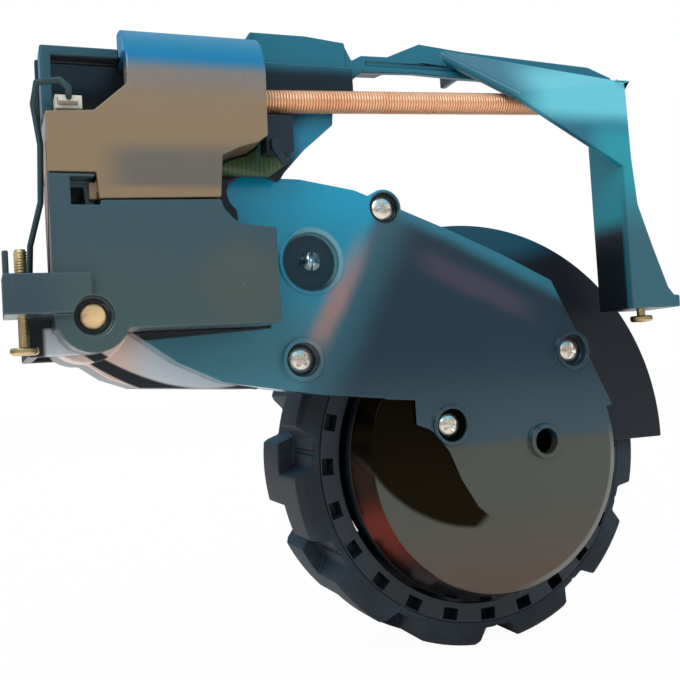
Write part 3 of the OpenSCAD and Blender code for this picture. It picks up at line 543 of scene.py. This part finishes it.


# painted reflections: blue lobe, navy panel with a plum streak under its brow and a painted highlight along
# the brow, and a pale painted highlight on the ridge over the bend between them
def coverSheen(paint, across, tall, drift, look):
    x, z = look["bendAt"]
    leanAcross, leanTall = look["bendLean"]
    bend = (across - x) * leanAcross - (tall - z) * leanTall + drift * 0.3
    lobe = paint.mix(paint.step(tall + drift, *look["lobeFoot"]), tones["lobeLow"], tones["lobe"])
    lobe = paint.mix(paint.step(tall + drift * 0.5, *look["lobeTop"]), lobe, tones["lobeTop"])
    panel = paint.mix(paint.step(tall + drift, *look["panelFoot"]), tones["panelFoot"], tones["panel"])
    panel = paint.mix(paint.step(bend + drift * 0.6, *look["bendStart"]), tones["bend"], panel)
    brow = tall + across * look["browSlope"] - look["browHeight"] + drift * 0.4
    panel = paint.mix(paint.step(brow + across * 0.03, *look["browFoot"]), panel, tones["panelEdge"])
    streak = paint.between(brow, look["streakFoot"], look["streakTop"])
    streak = streak * paint.between(across, look["streakStart"], look["streakEnd"])
    panel = paint.mix(streak * look["streakShare"], panel, tones["plum"])
    side = paint.mix(paint.step(bend, *look["panelStart"]), lobe, panel)
    ridge = paint.between(bend, look["ridgeStart"], look["ridgeEnd"])
    ridge = ridge * paint.step(tall, *look["ridgeFoot"]) * paint.fall(tall + drift, *look["ridgeTop"])
    patch = paint.step(paint.noise(paint.where, 120, 3), 0.3, 0.65) * 0.35 + 0.45
    return paint.mix(ridge * patch, side, tones["ridge"])


# round end, painted reflections and shade: warm grey, with a painted dark reflection (the leaf) where the
# face slopes away above an arc; its flank is red-brown at the lower left, black along the foot and pale at
# the right, and a pale painted highlight line runs near the lower right edge. Gives back tone, leaf, flank
# and pale.
def roundEnd(paint, side, across, deep, tall, drift, look):
    above = paint.step(tall + drift * 0.15, *look["endTop"])
    end = paint.mix(paint.step(tall + drift, *look["endFoot"]), tones["endWarm"], tones["endGrey"])
    side = side * above + end * (1 - above)
    sunk = paint.step(deep, *look["sunkBack"])
    leaf = sunk * paint.fall(paint.far(across, tall, *look["leafAt"]) + drift * 0.15, *look["leafRadius"])
    leaf = leaf * paint.fall(across, *look["leafEnd"]) * paint.fall(tall, *look["leafTop"])
    side = paint.mix(leaf, side, tones["leaf"])
    out = paint.far(across, tall, 0, 0)
    flank = sunk * paint.step(out, *look["flankRadius"]) * paint.fall(tall, *look["flankTop"]) * (1 - leaf)
    warm = paint.fall(paint.far(across, tall, *look["warmAt"]) + drift * 0.5, *look["warmRadius"])
    pale = paint.step(across, *look["paleStart"])
    edge = paint.mix(pale, paint.mix(warm, tones["flank"], tones["flankRed"]), tones["rimLight"])
    side = paint.mix(flank, side, edge)
    line = paint.between(out, look["lineInner"], look["lineOuter"]) * paint.fall(tall, *look["lineTop"])
    line = line * paint.step(across, *look["lineStart"])
    return paint.mix(line * look["lineShare"], side, tones["rimLight"]), leaf, flank, pale


# painted shade and highlight: a black painted shadow in the gap under the housing's lower cover, dark
# painted pits round the screws, the slotted post's well painted dark, and a painted highlight on its rim's
# upper right
def coverHollows(paint, side, across, tall, look):
    gapShadow = paint.step(tall - across * look["gapSlope"], *look["gapFoot"])
    gapShadow = gapShadow * paint.fall(across, *look["gapEnd"]) * paint.fall(tall, *look["gapTop"])
    side = paint.mix(gapShadow, side, tones["pitShade"])
    for x, z, _ in coverScrewsAt.values():
        pitShade = paint.fall(paint.far(across, tall, x, z), *look["pitRadius"])
        side = paint.mix(pitShade, side, tones["pitShade"])
    x, z = look["wellAt"]
    well = paint.far(across, tall, x, z)
    side = paint.mix(paint.fall(well, *look["wellRadius"]), side, tones["well"])
    rim = paint.step(well, *look["wellRimOuter"]) * paint.step(well, *look["wellRimInner"])
    lit = paint.step((across - x) * 0.8 + (tall - z) * 0.6, *look["wellLit"])
    return paint.mix(rim * lit, side, tones["wellRimHighlight"])


def coverGloss(name, look):
    paint = Finish(name, IOR=1.5, Coat_Roughness=0.1)
    across, deep, tall = paint.measured()
    drift = paint.noise(paint.where, 55, 3) * 4 - 2
    side = coverSheen(paint, across, tall, drift, look)
    side, leaf, flank, pale = roundEnd(paint, side, across, deep, tall, drift, look)
    side = coverHollows(paint, side, across, tall, look)
    coat = (1 - leaf) * (1 - flank) * look["coat"]
    return finishGloss(paint, side, look["rough"], coat=coat, mirror=leaf + flank * (1 - pale))


frameLook = {
    "roofStart": (0, 9),
    "roofFoot": (57, 61),
    "roofBack": (-18, -11),
    "legStart": (14, 20),
    "legTop": (55, 61),
    "webStart": (-20, -14),
    "webFoot": (38, 42.5),
    "wingStart": (20, 22),
    "wingTop": (36, 50),
    "wingBack": (-19, -17.5),
    "railStart": (-45, -41),
    "railFoot": (66, 69),
    "blueBack": (-9, -3),
    "boxEnd": (-62, -58),
    "boxFoot": (46, 52),
    "boxBack": (-15.5, -14.2),
    "plate": (-32, 55, 6.5, 7),  # its middle across and tall, then half its width and height
    "hookStart": (-78.0, -77.2),
    "hookEnd": (-66, -62),
    "hookTop": (25.2, 25.8),
    "hookBack": (-11.4, -11.0),
    "rough": 0.24,
}


# frame, painted reflections: blue sheen painted where the rail, the leg and the web face the light, paler
# blue on the roof, the plate and the corner box's front, lilac on the hook, and black inside the corner box
# and at the foot
def frameGloss(name, look):
    paint = Finish(name, IOR=1.5, Specular_IOR_Level=0.4, Coat_Weight=0.1, Coat_Roughness=0.2)
    across, deep, tall = paint.measured()
    drift = paint.noise(paint.where, 45, 4) * 6 - 3
    roof = paint.step(across + drift * 0.5, *look["roofStart"])
    roof = roof * paint.step(tall + drift * 0.3, *look["roofFoot"]) * paint.fall(deep, *look["roofBack"])
    blue = paint.mix(roof, tones["railBlue"], tones["roofBlue"])
    leg = paint.step(across, *look["legStart"]) * paint.fall(tall + drift * 0.3, *look["legTop"])
    blue = paint.mix(leg, blue, tones["legBlue"])
    wing = paint.fall(deep, *look["wingBack"]) * paint.step(across, *look["wingStart"])
    blue = paint.mix(wing * paint.fall(tall + drift, *look["wingTop"]), blue, tones["boxBlue"])
    rail = paint.step(tall + drift * 0.4, *look["railFoot"]) * paint.step(across, *look["railStart"])
    lit = paint.step(tall + drift * 0.5, *look["webFoot"]) * paint.step(across, *look["webStart"])
    for lighter in (wing, rail):
        lit = lit + lighter * (1 - lit)
    tone = paint.mix(lit * paint.fall(deep + drift * 0.3, *look["blueBack"]), tones["frameBlack"], blue)
    box = paint.fall(deep, *look["boxBack"]) * paint.fall(across, *look["boxEnd"])
    tone = paint.mix(box * paint.step(tall, *look["boxFoot"]), tone, tones["boxBlue"])
    tone = paint.mix(paint.blob(across, tall, *look["plate"]), tone, tones["plateBlue"])
    hook = paint.between(across, look["hookStart"], look["hookEnd"]) * paint.fall(tall, *look["hookTop"])
    tone = paint.mix(hook * paint.fall(deep, *look["hookBack"]), tone, tones["lilac"])
    return finishGloss(paint, tone, look["rough"])


shellLook = {
    "lowestAt": -50,  # the line under the sheen sags to here, by curve times the distance squared
    "lowest": 15.2,
    "curve": 0.0175,
    "sheenEnd": (-42, -36),
    "sheenBack": (-2.4, -1.2),
    "sheenTop": (28, 30),
    "pinkEnd": (-66, -60),
    "overLine": (-0.25, 0.25),  # heights above that line
    "underLine": (-2.4, -2.0),
    "rough": 0.25,
}


# rear half of the arm, painted reflection of the floor: a lilac stretch under the gear cover, a black line
# below it, then a pink edge
def shellGloss(name, look):
    paint = Finish(name, IOR=1.5, Coat_Weight=0.2, Coat_Roughness=0.15)
    across, deep, tall = paint.measured()
    drift = paint.noise(paint.where, 60, 3) * 0.8 - 0.4
    out = across - look["lowestAt"]
    above = tall - (out * out * look["curve"] + look["lowest"] + drift * 0.5)
    sheen = paint.fall(across, *look["sheenEnd"]) * paint.fall(deep, *look["sheenBack"])
    pale = paint.mix(paint.step(across + drift * 4, *look["pinkEnd"]), tones["pink"], tones["lilac"])
    band = paint.step(above, *look["overLine"]) * paint.fall(tall, *look["sheenTop"])
    tone = paint.mix(band * sheen, tones["frameBlack"], pale)
    tone = paint.mix(paint.fall(above, *look["underLine"]) * sheen, tone, tones["pink"])
    return finishGloss(paint, tone, look["rough"])


guardLook = {"crown": (6, 42, 17, 7), "crownBack": (2, 12), "rough": 0.32}


# wheel guard: black with a blue painted sheen over its crown
def guardGloss(name, look):
    paint = Finish(name, IOR=1.5, Specular_IOR_Level=0.35)
    across, deep, tall = paint.measured()
    drift = paint.noise(paint.where, 70, 4) * 6 - 3
    crown = paint.blob(across + drift, tall + drift * 0.4, *look["crown"])
    crown = crown * paint.fall(deep, *look["crownBack"])
    tone = paint.mix(crown, tones["frameBlack"], tones["guardBlue"])
    return finishGloss(paint, tone, look["rough"])


rubberLook = {"fresh": (0.007, 0.011, 0.016), "bluishSheen": (0.018, 0.032, 0.047), "dust": (0.06, 0.07, 0.08)}


# rubber: dull, with random patches of a bluish painted sheen and dust that sits in its pores
def tyreRubber(name, look):
    paint = Finish(name, IOR=1.5, Specular_IOR_Level=0.4)
    sheenPatch = paint.noise(paint.where, 70, 4)
    pores = paint.noise(paint.where, 2600, 3, 0.7)
    tone = paint.mix(paint.step(sheenPatch, 0.35, 0.7), look["fresh"], look["bluishSheen"])
    paint.put("Base Color", paint.mix(paint.step(pores, 0.55, 0.8) * 0.4, tone, look["dust"]))
    paint.put("Roughness", sheenPatch * 0.2 + 0.48)
    paint.put("Normal", paint.bump(pores, 0.00003, 0.7))
    return paint.material


# turned or stamped metal: drawn lines across it, tarnish in patches
def workedMetal(name, tone, tarnish, rough=0.28, lines=(1, 1, 30), metal=1.0):
    paint = Finish(name, Metallic=metal)
    patch = paint.noise(paint.where, 260, 4)
    drawn = paint.noise(paint.where * lines, 900, 3, 0.6)
    paint.put("Base Color", paint.mix(paint.step(patch, 0.42, 0.72), tone, tarnish))
    paint.put("Roughness", patch * 0.16 + drawn * 0.12 + (rough - 0.12))
    paint.put("Normal", paint.bump(drawn, 0.000008, 0.5))
    return paint.material


# natural nylon of the gears and plugs: milky, slightly waxy
def milkyNylon(name, tone, shade):
    paint = Finish(name, IOR=1.53, Subsurface_Weight=0.12, Subsurface_Scale=0.002)
    cloud = paint.noise(paint.where, 240, 3)
    fine = paint.noise(paint.where, 3000, 2)
    paint.put("Base Color", paint.mix(cloud, tone, shade))
    paint.put("Roughness", cloud * 0.15 + 0.36)
    paint.put("Normal", paint.bump(fine, 0.00001, 0.4))
    return paint.material


boardLook = {"mask": (0.010, 0.045, 0.018), "worn": (0.040, 0.085, 0.022), "trace": (0.10, 0.16, 0.05)}


# solder-masked board: traces show through the green as lighter lines
def boardMask(name, look):
    paint = Finish(name, IOR=1.5, Coat_Weight=0.3, Coat_Roughness=0.2)
    traces = paint.node("ShaderNodeTexWave", 0, {"Vector": paint.where, "Scale": 420.0, "Distortion": 3.0})
    cloud = paint.noise(paint.where, 300, 3)
    tone = paint.mix(cloud, look["mask"], look["worn"])
    paint.put("Base Color", paint.mix(paint.step(traces, 0.7, 0.9) * 0.35, tone, look["trace"]))
    paint.put("Roughness", cloud * 0.2 + 0.3)
    paint.put("Normal", paint.bump(traces, 0.00003, 0.4))
    return paint.material


finishes = {
    "black_gloss": lowerGloss("lowerGloss", lowerLook),
    "upper_cover": upperGloss("upperGloss", upperLook),
    "main_frame": frameGloss("frameGloss", frameLook),
    "gearbox_shell": shellGloss("shellGloss", shellLook),
    "black_matte": mouldedBlack("mouldedBlack", (0.008, 0.011, 0.016), (0.014, 0.024, 0.036)),
    "tyre_rubber": tyreRubber("tyreRubber", rubberLook),
    "brass": workedMetal("turnedBrass", (0.86, 0.62, 0.30), (0.62, 0.42, 0.20), 0.25),
    "zinc_steel": workedMetal("zincSteel", (0.80, 0.79, 0.75), (0.58, 0.56, 0.52), 0.24),
    "copper_spring": workedMetal("springWire", (1.0, 0.56, 0.32), (0.92, 0.44, 0.23), 0.34, metal=0.6),
    "pin_face": workedMetal("pinFace", (0.98, 0.66, 0.32), (0.90, 0.58, 0.27), 0.4, (1, 1, 1), 0.4),
    "motor_steel": workedMetal("motorSteel", (0.62, 0.63, 0.65), (0.45, 0.46, 0.48), 0.3),
    "natural_plastic": milkyNylon("naturalNylon", (0.80, 0.78, 0.70), (0.68, 0.65, 0.56)),
    "board_green": boardMask("boardMask", boardLook),
    "cream_lead": mouldedBlack("leadSleeve", (0.006, 0.030, 0.036), (0.020, 0.060, 0.070), 0.4),
    "gear_cover": coverGloss("coverGloss", coverLook),
    "wheel_guard": guardGloss("guardGloss", guardLook),
    # the slotted post's steel is tinted blue: a painted reflection of the blue around it
    "post_steel": workedMetal("postSteel", (0.62, 0.80, 0.84), (0.34, 0.56, 0.64), 0.2),
    "screw_steel": workedMetal("screwSteel", (0.97, 0.86, 0.72), (0.80, 0.66, 0.52), 0.26),
}

# a node takes the finish of its material slot, unless it is named here
slotOf = {part["node"]: part["material_slot"] for part in frame["record"]["subparts"]}
ownFinish = {
    "pivot_pin": "pin_face",
    "switch_lever": "black_matte",
    "gearbox_cover": "gear_cover",
    "upper_cover": "upper_cover",
    "main_frame": "main_frame",
    "gearbox_shell": "gearbox_shell",
    "wheel_guard": "wheel_guard",
    "bearing_post": "post_steel",
}

print("edges of the moulded and turned pieces")

# radius of each piece's rounded edges, in millimetres
softEdges = {
    "main_frame": 0.30,
    "upper_cover": 0.25,
    "lower_cover": 0.25,
    "gearbox_cover": 0.16,
    "gearbox_shell": 0.25,
    "drum_cap": 0.25,
    "wheel_guard": 0.30,
    "wheel_rim": 0.07,
    "tyre": 0.30,
    "drop_switch": 0.12,
    "board_socket": 0.12,
    "cable_plug": 0.12,
    "motor_can": 0.40,
    "motor_cap": 0.25,
    "hub_nut": 0.12,
    "pin_clip": 0.06,
    "switch_lever": 0.06,
}


edgeWork = {"weld": 0.002, "flatDegrees": 0.7, "sharpDegrees": 32}


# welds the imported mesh's split corners, rounds its edges and evens the shading
def softenEdges(piece, width):
    weld = piece.modifiers.new("weld", "WELD")
    weld.merge_threshold = edgeWork["weld"] * mm
    if width:
        flat = piece.modifiers.new("flat", "DECIMATE")
        flat.decimate_type = "DISSOLVE"
        flat.angle_limit = math.radians(edgeWork["flatDegrees"])
        bevel = piece.modifiers.new("round", "BEVEL")
        bevel.width = width * mm
        bevel.segments = 2
        bevel.limit_method = "ANGLE"
        bevel.angle_limit = math.radians(edgeWork["sharpDegrees"])
        bevel.use_clamp_overlap = False
        bevel.harden_normals = True
    even = piece.modifiers.new("even", "WEIGHTED_NORMAL")
    even.keep_sharp = False


for name, piece in nodes.items():
    piece.data.materials.clear()
    piece.data.materials.append(finishes[ownFinish.get(name, slotOf[name])])
    piece.data.polygons.foreach_set("use_smooth", np.ones(len(piece.data.polygons), bool))
    softenEdges(piece, softEdges.get(name, 0))

print("spring and screws")


# shows a surface given as rows of rings of points, in millimetres from the wheel's hub
def showSurface(name, points, finish):
    rows, columns = points.shape[:2]
    row, column = np.meshgrid(np.arange(rows - 1), np.arange(columns), indexing="ij")
    after = (column + 1) % columns
    here, below = row * columns, (row + 1) * columns
    faces = np.stack([here + column, here + after, below + after, below + column], -1)
    mesh = bpy.data.meshes.new(name)
    placed = points.reshape(-1, 3) * mm + np.array(wheelHub)
    mesh.from_pydata(placed.tolist(), [], faces.reshape(-1, 4).tolist())
    mesh.polygons.foreach_set("use_smooth", np.ones(len(mesh.polygons), bool))
    mesh.materials.append(finishes[finish])
    thing = bpy.data.objects.new(name, mesh)
    bpy.context.scene.collection.objects.link(thing)
    return thing


def unit(v):
    return v / np.linalg.norm(v, axis=-1, keepdims=True)


# rings of points round a wire that follows the path; side says which way each ring starts
def tubeRings(path, side, radius, count):
    ahead = unit(np.gradient(path, axis=0))
    side = unit(side - (side * ahead).sum(-1, keepdims=True) * ahead)
    other = np.cross(ahead, side)
    turn = np.linspace(0, 2 * np.pi, count, endpoint=False)[None, :, None]
    return path[:, None] + radius * (np.cos(turn) * side[:, None] + np.sin(turn) * other[:, None])


springMade = {
    "anchor": (-62.0, -14.0, 60.0),
    "hook": (16.0, -14.0, 63.0),
    "coil": 1.65,
    "wire": 0.245,
    "turns": 138,
    "neck": 4.4,
    "loop": 1.70,
    "slack": 0.12,
    "firstArc": (348, 90),  # degrees round each pin
    "lastArc": (90, -168),
    "arcSteps": 40,
    "turnSteps": 18,
    "wireSides": 8,
}


# close-wound wire: a loop round each pin, a straight neck, and a helix whose radius stands still
# while its angle and its place along the axis grow together
def windSpring(made):
    start, end = np.array(made["anchor"]), np.array(made["hook"])
    length = np.linalg.norm(end - start)
    along = (end - start) / length
    deep = np.array((0.0, 1.0, 0.0))
    high = np.cross(along, deep)
    high = high * np.sign(high[2])

    def loop(centre, angles):
        angle = np.radians(angles)[:, None]
        out = np.cos(angle) * along + np.sin(angle) * high
        return centre + made["loop"] * out, out

    first, firstSide = loop(start + made["slack"] * along, np.linspace(*made["firstArc"], made["arcSteps"]))
    last, lastSide = loop(end - made["slack"] * along, np.linspace(*made["lastArc"], made["arcSteps"]))
    turn = np.linspace(0, 1, made["turns"] * made["turnSteps"] + 1)[:, None]
    wound = turn * made["turns"] * 2 * np.pi
    out = np.cos(wound) * high + np.sin(wound) * deep
    coil = start + along * (made["neck"] + turn * (length - 2 * made["neck"])) + made["coil"] * out
    path = np.vstack([first, coil, last])
    return tubeRings(path, np.vstack([firstSide, out, lastSide]), made["wire"], made["wireSides"])


spring = showSurface("springWire", windSpring(springMade), "copper_spring")
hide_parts("return_spring")
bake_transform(spring)


# depth of a cross recess: full near two lines through the middle, fading at their sides and ends
def crossDepth(u, v, cross):
    near = np.minimum(abs(u), abs(v))
    far = np.maximum(abs(u), abs(v))
    side = np.clip((cross["half"] - near) / (0.4 * cross["half"]), 0, 1)
    end = np.clip((cross["reach"] - far) / (0.35 * cross["reach"]), 0, 1)
    return cross["depth"] * side * end


screwCut = {"sides": 72, "threadRunOut": 0.3, "leastThreaded": 0.5, "tip": 0.001}


# a turned screw: radius over depth along its axis, a cross recess in the head and, on the thread,
# a radius that falls and rises once per pitch along a helix; thread gives its ends, pitch and cut,
# grain the step along the outline, and headWalk how far along it the recess may reach
def turnScrew(place, axis, made, turned=0.0):
    shape = np.array(made["shape"], float)
    steps = np.hypot(*np.diff(shape, axis=0).T)
    reach = np.concatenate([[0], np.cumsum(steps)])
    walk = np.unique(np.concatenate([np.arange(0, reach[-1], made["grain"]), reach]))
    depth = np.interp(walk, reach, shape[:, 0])[:, None]
    radius = np.interp(walk, reach, shape[:, 1])[:, None]
    angle = np.linspace(0, 2 * np.pi, screwCut["sides"], endpoint=False)[None, :]
    low, high, pitch, cut = made["thread"]
    wave = abs(((depth / pitch - angle / (2 * np.pi)) % 1) * 2 - 1)
    runOut = screwCut["threadRunOut"]
    onThread = np.clip((depth - low) / runOut, 0, 1) * np.clip((high - depth) / runOut, 0, 1)
    onThread = onThread * (radius > screwCut["leastThreaded"])
    radius = np.maximum(radius - cut * wave * onThread, screwCut["tip"])
    u, v = radius * np.cos(angle + turned), radius * np.sin(angle + turned)
    onHead = walk[:, None] < made["headWalk"]
    depth = depth + crossDepth(u, v, made["cross"]) * onHead
    axis = np.array(axis, float)
    first = np.array((1.0, 0.0, 0.0))
    second = np.cross(axis, first)
    across = np.cos(angle)[..., None] * first + np.sin(angle)[..., None] * second
    return np.array(place, float) + depth[..., None] * axis + radius[..., None] * across


coverScrew = {
    "shape": [(0.0, 0.0), (0.02, 0.7), (0.1, 1.2), (0.24, 1.65), (0.42, 1.98), (0.6, 2.16), (0.75, 2.18),
              (0.78, 2.1), (0.78, 0.95), (5.2, 0.95), (5.4, 0.5), (5.4, 0.0)],
    "face": -8.05,  # depth of the head's face from the hub
    "grain": 0.07,
    "headWalk": 2.0,
    "thread": (1.0, 5.2, 0.6, 0.2),
    "cross": {"half": 0.34, "reach": 1.35, "depth": 0.55},
}
for name, (x, z, turned) in coverScrewsAt.items():
    points = turnScrew((x, coverScrew["face"], z), (0, 1, 0), coverScrew, turned)
    screw = showSurface(name, points, "screw_steel")
    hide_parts("cover_screws")
    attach(screw, "arm")


# captive screw: head, thin waist in the hole and a thread above it, from the head's face upward
def captiveShape(waist, top):
    return {
        "shape": [(0.0, 0.0), (0.0, 1.5), (0.12, 1.86), (0.35, 2.0), (0.9, 2.0), (1.1, 1.85), (1.12, 0.75),
                  (waist - 0.4, 0.75), (waist, 1.0), (top - 0.4, 1.0), (top, 0.7), (top, 0.0)],
        "grain": 0.06,
        "headWalk": 1.6,
        "thread": (waist - 0.2, top - 0.1, 0.4, 0.2),
        "cross": {"half": 0.28, "reach": 1.2, "depth": 0.5},
    }


# node, body, where the head's face is from the hub, and the outline
captives = {
    "leftScrewTurned": ("left_screw", "left_captive", (-80.6, -14.5, 21.6), captiveShape(11.09, 15.4)),
    "rightScrewTurned": ("right_screw", "right_captive", (28.2, -14.5, 22.6), captiveShape(4.49, 8.4)),
}
for name, (node, body, place, shape) in captives.items():
    screw = showSurface(name, turnScrew(place, (0, 0, 1), shape), "brass")
    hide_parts(node)
    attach(screw, body)
